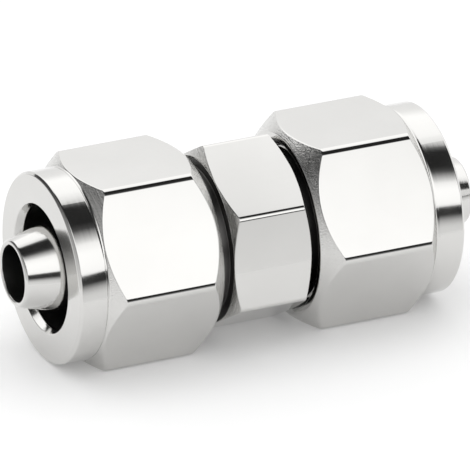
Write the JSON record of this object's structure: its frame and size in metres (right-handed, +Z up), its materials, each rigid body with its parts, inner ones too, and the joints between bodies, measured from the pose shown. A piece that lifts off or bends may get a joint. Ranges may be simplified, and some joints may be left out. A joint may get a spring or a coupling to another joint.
{
  "type": "push-on tube union",
  "caption": "Straight push-on tube union: a hexagonal body with a hollow spigot at each end and a clamp nut over each spigot, for plastic air tube.",
  "frame": {"origin": "centre of the body's hexagon on the fitting's axis, also the centre of the part's bounding box", "axes": "+X along the axis from the left nut to the right nut, +Z up, square to two flats of each nut"},
  "size_m": [0.04, 0.0184, 0.016],
  "materials": {
    "plated_brass": "bright nickel plate on turned brass"
  },
  "bodies": {
    "body": {"union_body": "plated_brass"},
    "left_clamp": {"left_nut": "plated_brass"},
    "right_clamp": {"right_nut": "plated_brass"}
  },
  "joints": [
    {"name": "left_nut_travel", "type": "slide", "parent": "body", "child": "left_clamp", "axis": [-1, 0, 0], "range_m": [-0.001, 0.017]},
    {"name": "right_nut_travel", "type": "slide", "parent": "body", "child": "right_clamp", "axis": [1, 0, 0], "range_m": [0, 0.017]}
  ]
}
